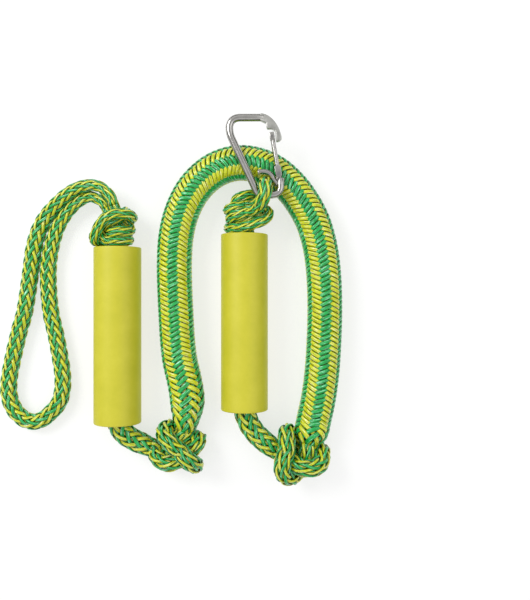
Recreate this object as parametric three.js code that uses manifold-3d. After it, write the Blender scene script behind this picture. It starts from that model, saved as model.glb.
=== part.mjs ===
// A short elastic tow rope with a hand loop, two foam float handles and a snap hook, laid out flat.
// Millimetres, +Z up. The floats and ropes lie on z = 0. +Y runs along the floats, towards the knots
// on their hand-loop and snap-hook ends. The origin is below the middle of the floats and the hook.
import * as THREE from 'three';
import { mergeVertices } from 'three/addons/utils/BufferGeometryUtils.js';
import Module from 'manifold-3d';

const wasm = await Module();
wasm.setup();

// Driving dimensions
const GAP = 0.3; // left between pieces that touch

const FLOAT_DIAMETER = 40;
const FLOAT_LENGTH = 150;
const FLOAT_BORE = 18;
const FLOAT_EDGE = 1.5; // radius of the float's rims
const FLOAT_SIDES = 36;
const FLOAT_RADIUS = FLOAT_DIAMETER / 2;
const FLOAT_1_X = -61.1;
const FLOAT_1_Y = -130.1; // of its lower end
const FLOAT_2_X = 47.4;
const FLOAT_2_Y = -118.9;

const LOOP_ROPE_DIAMETER = 13.6;
const LOOP_END_DIAMETER = 9; // where the knot pulls the hand loop tight
const LOOP_NARROW_FROM = 40; // the loop widens between these two distances from its ends
const LOOP_NARROW_TO = 115;
const BORE_ROPE_DIAMETER = 15; // bunched up inside a float
const LOWER_ROPE_DIAMETER = 19; // loose below a float
const EYE_ROPE_DIAMETER = 10.5;
const ROPE_SIDES = 8;
const KNOT_SEGMENTS = 18;

const SLEEVE_DIAMETER = 31; // the same braid, opened out over the elastic core
const SLEEVE_WALL = 2.5;
const SLEEVE_END_DIAMETER = 21; // where it closes in on its knots
const SLEEVE_TAPERS = [50, 18]; // lengths of the tapers at its first and last ends
const SLEEVE_STEPS = 46;
const SLEEVE_SIDES = 10;
const CORE_CLEARANCE = 2.2; // all round, between the core and the sleeve
const CORE_INSET = 30; // the core stops this far inside the sleeve's ends
const CORE_STEPS = 28;
const WHIPPING_LENGTH = 8;
const WHIPPING_INSET = 2;
const WHIPPING_WALL = 0.8;

const SNAP_BAR = 6.4; // diameter of the snap hook's bent bar
const SNAP_BAR_STEPS = 60;
const SNAP_BAR_SIDES = 12;
const SNAP_RIGHT = 81.1; // outside edges of the snap hook
const SNAP_TOP = 130.1;
const SNAP_BOTTOM_Y = 62.7; // centre line of its straight bottom bar, which the rope's eye holds
const SNAP_Z = SLEEVE_DIAMETER + GAP + SNAP_BAR / 2; // it lies on the sleeve
const SNAP_NOSE_START = new THREE.Vector3(64, SNAP_TOP - SNAP_BAR / 2, SNAP_Z); // the bar ends in the nose
const NOSE_THICKNESS = 5.6;
const LUG_THICKNESS = 2.2;
const LUG_RADIUS = 2;
const LUG_ROOT = 1; // how far the lug runs into the bar's end
const CAPTIVE_BAR = 4.4;
const GATE_BAR = 3.8;
const GATE_BORE = 2.4;
const GATE_BORE_DEPTH = 18;
const GATE_HEAD = 7; // length of the square head at the gate's tip
const GATE_HEAD_WIDTH = 4.2;
const CLEVIS_WIDTH = 5;
const CLEVIS_DEPTH = 5.6;
const CLEVIS_LENGTH = 7;
const HINGE_PIN = 1.8;
const LATCH_PIN = 1.8;
const PIN_CLEARANCE = 0.2;
const RIVET_HEAD = 0.35;
const PLUNGER_LENGTH = 4;
const HINGE = new THREE.Vector2(76.4, 79.6);
const GATE_TIP = new THREE.Vector2(70.3, 114.6);
const SPRING_WIRE = 0.4;
const SPRING_TURNS = 6;
const SPRING_STEPS = 8; // in each turn

const COLOURS = {
  foam: 0xd3cb45,
  rope: 0x6fb23a,
  sleeve: 0x58a83c,
  latex: 0x20221f,
  thread: 0xdedccf,
  steel: 0xb9bab8,
  darkSteel: 0x8c8d8c,
};

// Materials
const material = (color, roughness, metalness = 0) =>
  new THREE.MeshStandardMaterial({ color, roughness, metalness });
const foam = () => material(COLOURS.foam, 0.8);
const braid = (color) => material(color, 0.55);
const steel = (color = COLOURS.steel) => material(color, 0.25, 1);

// Booleans
function solidOf(geometry) {
  const plain = geometry.clone();
  plain.deleteAttribute('normal');
  plain.deleteAttribute('uv');
  const merged = mergeVertices(plain, 1e-4);
  return new wasm.Manifold(new wasm.Mesh({
    numProp: 3,
    vertProperties: new Float32Array(merged.attributes.position.array),
    triVerts: new Uint32Array(merged.index.array),
  }));
}

function geometryOf(solid) {
  const mesh = solid.getMesh();
  const geometry = new THREE.BufferGeometry();
  geometry.setAttribute('position', new THREE.BufferAttribute(mesh.vertProperties, 3));
  geometry.setIndex(new THREE.BufferAttribute(mesh.triVerts, 1));
  geometry.computeVertexNormals();
  return geometry;
}

const joined = (solids) => solids.reduce((whole, solid) => whole.add(solid));
const cutBy = (solid, cutters) => cutters.reduce((rest, cutter) => rest.subtract(cutter), solid);

// A round section swept along a line.
function sweep(line, diameter, steps, sides) {
  const section = new THREE.Shape();
  for (let i = 0; i < sides; i++) {
    const angle = (2 * Math.PI * i) / sides;
    const corner = [(diameter / 2) * Math.cos(angle), (diameter / 2) * Math.sin(angle)];
    if (i === 0) section.moveTo(...corner);
    else section.lineTo(...corner);
  }
  section.closePath();
  return new THREE.ExtrudeGeometry(section, { steps, extrudePath: line, bevelEnabled: false });
}

// A tube along a smooth line through the points. The scale of its section may change with the
// distance along the line.
function tube(points, diameter, steps, { sides = ROPE_SIDES, scaleAt = null } = {}) {
  const line = new THREE.CatmullRomCurve3(points.map((p) => new THREE.Vector3(...p)), false, 'centripetal');
  const geometry = sweep(line, diameter, steps, sides);
  if (scaleAt) scaleRings(geometry, line, diameter / 2, steps, scaleAt);
  return geometry;
}

// Moves each vertex of a swept tube towards its own ring's centre, or away from it.
function scaleRings(geometry, line, radius, steps, scaleAt) {
  const centres = line.getSpacedPoints(steps);
  const length = line.getLength();
  const position = geometry.attributes.position;
  const vertex = new THREE.Vector3();
  for (let i = 0; i < position.count; i++) {
    vertex.fromBufferAttribute(position, i);
    let ring = 0;
    let error = Infinity;
    centres.forEach((centre, k) => {
      const along = vertex.clone().sub(centre).dot(line.getTangentAt(k / steps));
      const miss = Math.abs(vertex.distanceTo(centre) - radius) + Math.abs(along);
      if (miss < error) [ring, error] = [k, miss];
    });
    const scale = scaleAt((ring / steps) * length, length);
    vertex.sub(centres[ring]).multiplyScalar(scale).add(centres[ring]);
    position.setXYZ(i, vertex.x, vertex.y, vertex.z);
  }
}

// A knot's outer shape: rounded lobes joined into one lump, grown all round by a margin.
function lump(lobes, margin = 0) {
  return joined(lobes.map(({ at, radii, turn = 0 }) => {
    const lobe = new THREE.SphereGeometry(1, KNOT_SEGMENTS, KNOT_SEGMENTS / 2);
    lobe.scale(...radii.map((r) => r + margin));
    lobe.rotateZ(turn);
    lobe.translate(...at);
    return solidOf(lobe);
  }));
}

// A cylinder along Z, from its lower end at a point.
function postZ(diameter, height, [x, y, z], sides = 16) {
  const post = new THREE.CylinderGeometry(diameter / 2, diameter / 2, height, sides);
  post.rotateX(Math.PI / 2);
  post.translate(x, y, z + height / 2);
  return post;
}

// A cylinder lying in the snap hook's plane, from one point to another.
function rod(diameter, from, to, sides = 12) {
  const length = from.distanceTo(to);
  const bar = new THREE.CylinderGeometry(diameter / 2, diameter / 2, length, sides);
  bar.rotateZ(Math.atan2(to.y - from.y, to.x - from.x) - Math.PI / 2);
  bar.translate((from.x + to.x) / 2, (from.y + to.y) / 2, SNAP_Z);
  return bar;
}

// Routes of the ropes
const FLOAT_1_TOP = FLOAT_1_Y + FLOAT_LENGTH;
const FLOAT_2_TOP = FLOAT_2_Y + FLOAT_LENGTH;

const HAND_LOOP_ROUTE = [
  [-61.5, 50, 24], [-62.5, 57, 22.5], [-67, 65, 20.5], [-74.5, 71, 19], [-82, 73.5, 18.5],
  [-90, 73, 17.5], [-99, 70, 16], [-108, 64.5, 14], [-115.5, 58, 12], [-123, 50.5, 10],
  [-129, 42.5, 8.2], [-133.5, 33, 7.5], [-137, 20.5, 7.2], [-139, 6.5, 7.2], [-141, -9, 7.2],
  [-145.5, -37, 7.2], [-149.5, -51, 7.2], [-156, -79, 7.2], [-158.5, -93, 7.2], [-159, -105.5, 7.2],
  [-156.5, -116, 7.2], [-150.5, -125, 7.2], [-141, -131, 7.2], [-131, -130, 7.2], [-122.5, -123.5, 7.2],
  [-115, -114.5, 7.2], [-112, -102.5, 7.2], [-112, -89.5, 7.2], [-114.5, -73, 7.2], [-118, -54.5, 7.2],
  [-122, -37, 7.2], [-124.5, -7.5, 7.2], [-123.5, 12, 7.2], [-118.5, 32, 7.5], [-114.5, 41, 8],
  [-107, 51.5, 9.3], [-97, 60.5, 11], [-87, 64.5, 12.7], [-77, 62, 14.5], [-71.5, 53.5, 16.5],
];
const LOWER_ROPE_1_ROUTE = [
  [-61.1, -128, 19.5], [-58.6, -136.5, 16.5], [-52.5, -143.5, 13.5], [-44, -148.5, 12], [-34.5, -152, 12.5],
  [-24, -154, 15], [-14, -154, 17],
];
const SLEEVE_ROUTE = [
  [-7, -148, 16], [-4.5, -137, 15.5], [-2.5, -122, 15.5], [-2, -110, 15.5], [-4.5, -94, 15.5],
  [-8.5, -76, 15.5], [-10.5, -58, 15.5], [-11.5, -41, 15.5], [-12.3, -25, 15.5], [-13, -6, 15.5],
  [-13, 10, 15.5], [-12, 27, 15.5], [-9, 43, 15.5], [-4, 57, 15.5], [3, 69.5, 15.5],
  [13, 80.5, 15.5], [25, 88.5, 15.5], [41, 93, 15.5], [58.3, 91.2, 15.5], [74.5, 83.8, 15.5],
  [88.5, 71, 15.5], [98, 58, 15.5], [105.5, 44, 15.5], [111, 27, 15.5], [114.2, 9.5, 15.5],
  [116, -12, 15.5], [116.4, -36, 15.5], [115.5, -64, 15.5], [114, -86, 15.5], [111, -109, 15.5],
  [107, -128, 15.5], [103, -146, 16],
];
const LOWER_ROPE_2_ROUTE = [
  [47.4, -116.5, 19.5], [49, -126, 17], [54.5, -137, 14], [63, -146.5, 12], [72.5, -153, 12.5],
  [82, -156.5, 15], [92, -158, 17],
];
const EYE_ROPE_ROUTE = [
  [53, 46, 26], [57.7, 51, 35], [62.3, 56.2, 42], [64.9, 61.5, 44.1], [65.2, 67, 42.6],
  [65.1, 71.2, 38.5], [65.1, 72.1, 34.5], [65.1, 71.2, 30.4], [64.7, 67, 26.4], [62.8, 61.5, 24.6],
  [58.7, 55.5, 23.4], [53.5, 49, 21],
];

// Outer shapes of the knots
const UPPER_KNOT_1 = [
  { at: [-64.5, 37.2, 20], radii: [20, 16.8, 17.5] },
  { at: [-70, 44, 20], radii: [14, 13, 15] },
];
const UPPER_KNOT_2 = [
  { at: [50, 46.5, 20], radii: [20.5, 15, 18.5] },
  { at: [44, 54, 20], radii: [13, 12, 15] },
];
const LOWER_KNOT_1 = [
  { at: [-9, -145, 19], radii: [21, 14, 17], turn: -0.7 },
  { at: [-5, -156, 18], radii: [19, 12, 15.5] },
];
const LOWER_KNOT_2 = [
  { at: [87, -155, 19], radii: [13, 27, 17.5], turn: 0.2 },
  { at: [102, -153, 18.5], radii: [19, 14, 16] },
];
const knots = {
  upper_knot_1: UPPER_KNOT_1,
  upper_knot_2: UPPER_KNOT_2,
  lower_knot_1: LOWER_KNOT_1,
  lower_knot_2: LOWER_KNOT_2,
};
const grownKnots = Object.values(knots).map((lobes) => lump(lobes, GAP));

// The assembly
const assembly = new THREE.Group();

function addPiece(name, geometry, look) {
  const mesh = new THREE.Mesh(geometry, look);
  mesh.name = name;
  assembly.add(mesh);
  return mesh;
}

// Floats: foam tubes with a rope bore and softened rims, lying on two of their facets
function floatGeometry() {
  const outer = FLOAT_RADIUS / Math.cos(Math.PI / FLOAT_SIDES);
  const bore = FLOAT_BORE / 2;
  const soft = FLOAT_EDGE * (1 - Math.SQRT1_2);
  const profile = [
    [bore, 0], [outer - FLOAT_EDGE, 0], [outer - soft, soft], [outer, FLOAT_EDGE],
    [outer, FLOAT_LENGTH - FLOAT_EDGE], [outer - soft, FLOAT_LENGTH - soft],
    [outer - FLOAT_EDGE, FLOAT_LENGTH], [bore, FLOAT_LENGTH], [bore, 0],
  ].map(([r, y]) => new THREE.Vector2(r, y));
  const float = new THREE.LatheGeometry(profile, FLOAT_SIDES);
  float.rotateY(Math.PI / FLOAT_SIDES); // a facet faces straight down
  return float;
}

function addFloat(name, x, y) {
  const float = addPiece(name, floatGeometry(), foam());
  float.position.set(x, y, FLOAT_RADIUS);
}

// The room that a float takes up, bore and all, which the ropes outside it keep clear of.
function floatRoom(x, y) {
  const room = new THREE.CylinderGeometry(FLOAT_RADIUS, FLOAT_RADIUS, FLOAT_LENGTH + 2 * GAP, FLOAT_SIDES);
  room.translate(x, y + FLOAT_LENGTH / 2, FLOAT_RADIUS);
  return solidOf(room);
}

addFloat('float_1', FLOAT_1_X, FLOAT_1_Y);
addFloat('float_2', FLOAT_2_X, FLOAT_2_Y);

// Ropes: each is cut off just short of the knots and the floats it runs into
const floatRooms = [floatRoom(FLOAT_1_X, FLOAT_1_Y), floatRoom(FLOAT_2_X, FLOAT_2_Y)];

function addRope(name, route, diameter, steps, { cutters = [...grownKnots, ...floatRooms], scaleAt } = {}) {
  const rope = solidOf(tube(route, diameter, steps, { scaleAt }));
  addPiece(name, geometryOf(cutBy(rope, cutters)), braid(COLOURS.rope));
}

function addBoreRope(name, x, bottom, top) {
  const route = [bottom, (bottom + top) / 2, top].map((y) => [x, y, FLOAT_RADIUS]);
  addRope(name, route, BORE_ROPE_DIAMETER, 4, { cutters: grownKnots });
}

// The hand loop is pulled narrow at both ends, where its two legs go side by side into the knot.
const loopWidth = (along, length) => {
  const fromEnd = Math.min(along, length - along);
  const opening = THREE.MathUtils.smoothstep(fromEnd, LOOP_NARROW_FROM, LOOP_NARROW_TO);
  return THREE.MathUtils.lerp(LOOP_END_DIAMETER / LOOP_ROPE_DIAMETER, 1, opening);
};
addRope('hand_loop_rope', HAND_LOOP_ROUTE, LOOP_ROPE_DIAMETER, 64, { scaleAt: loopWidth });
addBoreRope('float_1_rope', FLOAT_1_X, FLOAT_1_Y, FLOAT_1_TOP + 4);
addRope('lower_rope_1', LOWER_ROPE_1_ROUTE, LOWER_ROPE_DIAMETER, 8);
addRope('lower_rope_2', LOWER_ROPE_2_ROUTE, LOWER_ROPE_DIAMETER, 8);
addBoreRope('float_2_rope', FLOAT_2_X, FLOAT_2_Y, FLOAT_2_TOP + 4);
addRope('clip_eye_rope', EYE_ROPE_ROUTE, EYE_ROPE_DIAMETER, 20);

for (const [name, lobes] of Object.entries(knots)) {
  addPiece(name, geometryOf(lump(lobes)), braid(COLOURS.rope));
}

// Elastic section: the braided sleeve, its latex core and the thread wound round the core's ends
const endTaper = (along, length) => {
  const first = THREE.MathUtils.smoothstep(along, 0, SLEEVE_TAPERS[0]);
  const last = THREE.MathUtils.smoothstep(length - along, 0, SLEEVE_TAPERS[1]);
  return THREE.MathUtils.lerp(SLEEVE_END_DIAMETER / SLEEVE_DIAMETER, 1, Math.min(first, last));
};
const sleeveLine = new THREE.CatmullRomCurve3(
  SLEEVE_ROUTE.map((p) => new THREE.Vector3(...p)), false, 'centripetal');
const sleeveLength = sleeveLine.getLength();
const CORE_DIAMETER = SLEEVE_DIAMETER - 2 * (SLEEVE_WALL + CORE_CLEARANCE);

// A tube that follows the sleeve's centre line and taper from one distance along it to another.
function alongSleeve(from, to, diameter, steps) {
  const points = Array.from({ length: Math.ceil(steps / 2) + 2 }, (_, i, all) => {
    const along = from + ((to - from) * i) / (steps / 2 + 1);
    return sleeveLine.getPointAt(Math.min(1, along / sleeveLength)).toArray();
  });
  const scaleAt = (along) => endTaper(from + along, sleeveLength);
  return tube(points, diameter, steps, { sides: SLEEVE_SIDES, scaleAt });
}

const sleeveSkin = (diameter) => solidOf(alongSleeve(0, sleeveLength, diameter, SLEEVE_STEPS));
const sleeveBore = sleeveSkin(SLEEVE_DIAMETER - 2 * SLEEVE_WALL);
const sleeve = cutBy(sleeveSkin(SLEEVE_DIAMETER), [sleeveBore, ...grownKnots]);
addPiece('bungee_sleeve', geometryOf(sleeve), braid(COLOURS.sleeve));

const coreEnds = [CORE_INSET, sleeveLength - CORE_INSET];
const coreTube = (diameter) => alongSleeve(...coreEnds, diameter, CORE_STEPS);
addPiece('bungee_core', coreTube(CORE_DIAMETER), material(COLOURS.latex, 0.7));
const coreRoom = solidOf(coreTube(CORE_DIAMETER + 2 * GAP));

function addWhipping(name, from) {
  const diameter = CORE_DIAMETER + 2 * (GAP + WHIPPING_WALL);
  const winding = solidOf(alongSleeve(from, from + WHIPPING_LENGTH, diameter, 2)).subtract(coreRoom);
  addPiece(name, geometryOf(winding), material(COLOURS.thread, 0.9));
}
addWhipping('core_whipping_1', coreEnds[0] + WHIPPING_INSET);
addWhipping('core_whipping_2', coreEnds[1] - WHIPPING_INSET - WHIPPING_LENGTH);

// Snap hook: the bar's centre line is straight runs joined by rounded corners
const SNAP_SIDE_X = SNAP_RIGHT - SNAP_BAR / 2;
const SNAP_TOP_Y = SNAP_TOP - SNAP_BAR / 2;
const BAR_END = new THREE.Vector2(SNAP_SIDE_X, HINGE.y - CLEVIS_WIDTH / 2 - 2 * GAP);
const snapCorners = [
  { at: [SNAP_SIDE_X, SNAP_BOTTOM_Y], round: 7.5 },
  { at: [59.3, SNAP_BOTTOM_Y], round: 3.4 },
  { at: [34.9, 114.5], round: 6 },
  { at: [36, SNAP_TOP_Y], round: 8.5 },
];

function snapBar(diameter) {
  const z = SNAP_Z;
  const route = new THREE.CurvePath();
  let from = new THREE.Vector3(BAR_END.x, BAR_END.y, z);
  snapCorners.forEach(({ at, round }, i) => {
    const corner = new THREE.Vector3(...at, z);
    const next = snapCorners[i + 1] ? new THREE.Vector3(...snapCorners[i + 1].at, z) : SNAP_NOSE_START;
    const entry = corner.clone().lerp(from, round / corner.distanceTo(from));
    const leave = corner.clone().lerp(next, round / corner.distanceTo(next));
    route.add(new THREE.LineCurve3(from, entry));
    route.add(new THREE.QuadraticBezierCurve3(entry, corner, leave));
    from = leave;
  });
  route.add(new THREE.LineCurve3(from, SNAP_NOSE_START));
  return sweep(route, diameter, SNAP_BAR_STEPS, SNAP_BAR_SIDES);
}

// A flat plate lying in the snap hook's plane.
function snapPlate(outline, thickness) {
  const plate = new THREE.ExtrudeGeometry(outline, { depth: thickness, bevelEnabled: false });
  plate.translate(0, 0, SNAP_Z - thickness / 2);
  return plate;
}

// The nose: widened flat, with a beak that hangs over the gate's head
const nose = new THREE.Shape();
nose.moveTo(61, 130);
nose.bezierCurveTo(68.5, 130, 76.5, 122.5, 79, 109.2);
nose.lineTo(77.4, 107.2);
nose.lineTo(74.3, 106.6);
nose.lineTo(73.6, 113.6);
nose.quadraticCurveTo(73, 116.9, 70, 117.2);
nose.lineTo(66.6, 117.2);
nose.lineTo(66, 119.6);
nose.lineTo(66, 122);
nose.lineTo(61, 124);

// The hinge lug: a thin tongue with a round end, between the gate's cheeks
const lug = new THREE.Shape();
lug.absarc(HINGE.x, HINGE.y, LUG_RADIUS, 0, Math.PI);
lug.lineTo(HINGE.x - LUG_RADIUS, BAR_END.y - LUG_ROOT);
lug.lineTo(HINGE.x + LUG_RADIUS, BAR_END.y - LUG_ROOT);

const pinHole = (diameter) => solidOf(postZ(diameter, 2 * SNAP_BAR, [HINGE.x, HINGE.y, SNAP_Z - SNAP_BAR]));
const HINGE_HOLE = HINGE_PIN + 2 * PIN_CLEARANCE;
const snapBody = joined([
  solidOf(snapBar(SNAP_BAR)),
  solidOf(snapPlate(nose, NOSE_THICKNESS)),
  solidOf(snapPlate(lug, LUG_THICKNESS)),
]).subtract(pinHole(HINGE_HOLE));
addPiece('snap_body', geometryOf(snapBody), steel());

const CAPTIVE_ROUTE = [
  [58.8, 81.4, SNAP_Z], [63.2, 82, SNAP_Z], [67.2, 81.2, SNAP_Z], [70.2, 78.9, SNAP_Z],
  [71.9, 75.4, SNAP_Z], [74.2, 72.4, SNAP_Z], [SNAP_SIDE_X, 71, SNAP_Z],
];
const captiveBar = solidOf(tube(CAPTIVE_ROUTE, CAPTIVE_BAR, 12, { sides: 10 }));
const bodyRoom = solidOf(snapBar(SNAP_BAR + 2 * GAP));
addPiece('captive_bar', geometryOf(captiveBar.subtract(bodyRoom)), steel());

// Gate: a round bar with a slotted clevis at the hinge, a bore for its spring and a head at the tip.
// Its pieces are placed by their distance from the hinge towards the tip.
const gateReach = (distance) => HINGE.clone().lerp(GATE_TIP, distance / HINGE.distanceTo(GATE_TIP));
const gateTurn = Math.atan2(GATE_TIP.y - HINGE.y, GATE_TIP.x - HINGE.x) - Math.PI / 2;
const GATE_LENGTH = HINGE.distanceTo(GATE_TIP);

function gateBlock(from, to, width, thickness) {
  const block = new THREE.BoxGeometry(width, to - from, thickness);
  const middle = gateReach((from + to) / 2);
  block.rotateZ(gateTurn);
  block.translate(middle.x, middle.y, SNAP_Z);
  return solidOf(block);
}
const gateRod = (diameter, from, to) => solidOf(rod(diameter, gateReach(from), gateReach(to)));

const clevisBase = [HINGE.x, HINGE.y, SNAP_Z - CLEVIS_DEPTH / 2];
const clevisRound = solidOf(postZ(CLEVIS_WIDTH, CLEVIS_DEPTH, clevisBase));
const slot = LUG_THICKNESS + 2 * GAP;
const slotEnd = LUG_RADIUS + 2 * GAP;
const gate = cutBy(joined([
  clevisRound,
  gateBlock(0, CLEVIS_LENGTH, CLEVIS_WIDTH, CLEVIS_DEPTH),
  gateRod(GATE_BAR, CLEVIS_LENGTH / 2, GATE_LENGTH - 1),
  gateBlock(GATE_LENGTH - GATE_HEAD, GATE_LENGTH, GATE_HEAD_WIDTH, GATE_HEAD_WIDTH),
]), [
  gateBlock(-CLEVIS_WIDTH, slotEnd, 2 * CLEVIS_WIDTH, slot),
  gateRod(GATE_BORE, 0, GATE_BORE_DEPTH),
  pinHole(HINGE_HOLE),
  solidOf(latchPost(LATCH_PIN + 2 * PIN_CLEARANCE)),
]);
addPiece('gate', geometryOf(gate), steel());

// The latch pin crosses the gate's head, and stands a little proud of it on both sides.
function latchPost(diameter) {
  const { x, y } = gateReach(GATE_LENGTH - GATE_HEAD / 2);
  return postZ(diameter, SNAP_BAR - 2 * GAP, [x, y, SNAP_Z - SNAP_BAR / 2 + GAP], 12);
}
addPiece('gate_latch_pin', latchPost(LATCH_PIN), steel(COLOURS.darkSteel));

// The hinge pin is a rivet: its heads hold the gate's cheeks in.
const rivetHalf = CLEVIS_DEPTH / 2 + GAP / 2;
const rivetProfile = [
  [0, -rivetHalf - RIVET_HEAD], [HINGE_PIN * 0.8, -rivetHalf - RIVET_HEAD], [HINGE_PIN * 0.8, -rivetHalf],
  [HINGE_PIN / 2, -rivetHalf], [HINGE_PIN / 2, rivetHalf], [HINGE_PIN * 0.8, rivetHalf],
  [HINGE_PIN * 0.8, rivetHalf + RIVET_HEAD], [0, rivetHalf + RIVET_HEAD],
].map(([r, y]) => new THREE.Vector2(r, y));
const hingePin = new THREE.LatheGeometry(rivetProfile, 12);
hingePin.rotateX(Math.PI / 2);
hingePin.translate(HINGE.x, HINGE.y, SNAP_Z);
addPiece('gate_hinge_pin', hingePin, steel(COLOURS.darkSteel));

// Spring and plunger: the spring pushes the plunger out of the gate's bore against the hinge lug.
const plungerEnds = [slotEnd - GAP, slotEnd + PLUNGER_LENGTH];
const plunger = gateRod(GATE_BORE - 2 * GAP, ...plungerEnds);
addPiece('gate_plunger', geometryOf(plunger), steel(COLOURS.darkSteel));

class Helix extends THREE.Curve {
  getPoint(t, target = new THREE.Vector3()) {
    const { x, y } = gateReach(THREE.MathUtils.lerp(plungerEnds[1] + GAP, GATE_BORE_DEPTH - GAP, t));
    const radius = GATE_BORE / 2 - GAP / 2 - SPRING_WIRE / 2;
    const angle = 2 * Math.PI * SPRING_TURNS * t;
    const across = radius * Math.cos(angle);
    const height = radius * Math.sin(angle);
    return target.set(x + across * Math.cos(gateTurn), y + across * Math.sin(gateTurn), SNAP_Z + height);
  }
}
const spring = sweep(new Helix(), SPRING_WIRE, SPRING_TURNS * SPRING_STEPS, 5);
addPiece('gate_spring', spring, steel(COLOURS.darkSteel));

export default assembly;
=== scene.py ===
import math

import bpy
import numpy as np
from mathutils import Matrix, Vector


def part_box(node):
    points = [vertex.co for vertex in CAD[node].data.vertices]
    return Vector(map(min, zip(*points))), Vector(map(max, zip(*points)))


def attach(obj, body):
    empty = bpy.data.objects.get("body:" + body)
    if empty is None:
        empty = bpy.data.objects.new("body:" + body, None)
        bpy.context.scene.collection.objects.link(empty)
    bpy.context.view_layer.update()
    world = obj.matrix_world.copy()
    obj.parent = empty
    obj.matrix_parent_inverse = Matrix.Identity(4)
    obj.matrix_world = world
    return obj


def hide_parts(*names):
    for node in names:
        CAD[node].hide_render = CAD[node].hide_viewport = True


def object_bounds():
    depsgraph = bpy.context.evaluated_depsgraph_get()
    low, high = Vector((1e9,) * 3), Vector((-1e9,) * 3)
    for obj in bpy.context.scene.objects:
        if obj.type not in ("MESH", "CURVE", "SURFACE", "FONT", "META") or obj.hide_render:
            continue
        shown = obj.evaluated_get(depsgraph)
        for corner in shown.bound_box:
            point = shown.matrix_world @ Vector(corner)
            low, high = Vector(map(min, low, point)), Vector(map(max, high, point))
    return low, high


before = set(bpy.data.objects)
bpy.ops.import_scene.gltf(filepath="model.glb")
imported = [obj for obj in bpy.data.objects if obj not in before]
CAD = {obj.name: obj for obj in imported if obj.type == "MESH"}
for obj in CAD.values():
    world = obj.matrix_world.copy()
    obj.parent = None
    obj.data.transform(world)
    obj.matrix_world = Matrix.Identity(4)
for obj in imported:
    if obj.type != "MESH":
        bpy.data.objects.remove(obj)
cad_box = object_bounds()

MM = 0.001

# The braid: flat yarns, half of them turning each way round the rope, each over two and under two.
YARNS_EACH_WAY = 10
YARN_PER_TURN = 0.116  # length of yarn in one turn round the rope, where the braid is drawn out
YARN_AREA = 5.6e-6  # width times thickness of one yarn
YARN_SIDES = 8
RINGS_PER_WAVE = 9  # rings of a yarn in the length over which it goes over and under once
THICKEST_YARN = 0.27  # of the rope's radius, where a tight rope squeezes its yarns together
SHARPNESS = 2.2  # how quickly a yarn goes from over to under
YARN_RISE = 0.55  # how far a yarn goes up and down, in its own thicknesses
YARN_SQUARENESS = 0.8  # 1 makes a yarn's section an ellipse, and less makes it flatter
INSIDE_GAP = 1.15  # from the middle of the braid down to the rope's inside, in yarn thicknesses; the dark tube there is painted shade
INSIDE_SIDES = 20
YARN_OFFSET = 0.31  # shifts each yarn's filaments along from its neighbour's, so that none look alike
GREEN_ON_TOP = math.radians(-9)  # turns a column of green yarns to the top of the rope

LOOP_RADIUS = 7.3 * MM
LOOP_WIDENS = (0, 105 * MM)  # how far from its knot the hand loop starts and stops widening
PAIR_RADIUS = 4.8 * MM  # each of the two ropes in an upper knot
PAIR_SQUEEZE = 0.80  # how closely the ropes in an upper knot are pressed together
LOWER_SQUEEZE = 0.86  # and the rope in a lower knot
LOOP_BUNCHING = 0.86
LOWER_RADIUS = 9.6 * MM
KNOT_RADIUS = 7.7 * MM  # pulled tight in a lower knot
BUNGEE_RADIUS = 15.3 * MM
BUNGEE_TAPERS = (40 * MM, 16 * MM)
BUNCHING = 0.53  # how far the braid over the elastic is pushed together
BUNCHING_STARTS = (75 * MM, 18 * MM)
BUNCHED_COVER = 0.96  # share of the rope's surface that its yarns cover
OPEN_COVER = 0.80
EYE_RADIUS = 6.0 * MM
EYE_WIDENS = (0, 12 * MM)
EYE_SMOOTHED = 8 * MM  # each way from where the eye meets its knot
EYE_RUNS_ON = 10.5 * MM  # how far the eye's braid goes on into its knot
ROUTE_STEP = 1.2 * MM
IN_BORE = 30 * MM  # rope this close to a doubled rope's ends stays where it is, in a float's bore
LOOP_FREE = 20 * MM  # how far from its knot the hand loop may still be pushed aside
EYE_FREE = 6 * MM
KNOT_REACH = 50 * MM  # how much of each leg of the hand loop is looked at for ropes that meet
KNOT_TIGHTENS = 20 * MM  # the length over which a lower rope narrows into its knot
KNOT_LEAD = 12 * MM  # and how far from the knot that starts
SLEEVE_LEAD = (12 * MM, 6 * MM)  # how far before its first and last knots the sleeve starts to widen
SLEEVE_OVERLAP = 30 * MM  # how far along the sleeve its knots may meet it
CORE_WALL = 2.9 * MM
CORE_INSET = 20 * MM


# ---------------------------------------------------------------- camera


def make_camera():
    """Looks straight down. The rope fills the left two thirds of the frame, as it is laid out."""
    low, high = cad_box
    middle = (low + high) / 2
    height = 0.580
    frame_height = 0.513  # how much of the ground plane's depth the frame takes in, at the rope's height
    subject_height = 0.020
    data = bpy.data.cameras.new("camera")
    data.sensor_fit = "VERTICAL"
    data.sensor_width = data.sensor_height = 36
    data.lens = 36 * (height - subject_height) / frame_height
    camera = bpy.data.objects.new("camera", data)
    camera.location = (middle.x + 0.0821, middle.y + 0.0007, height)
    bpy.context.scene.collection.objects.link(camera)
    bpy.context.scene.camera = camera


# ---------------------------------------------------------------- routes


def metres(points):
    return np.array(points, float) * MM


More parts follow.
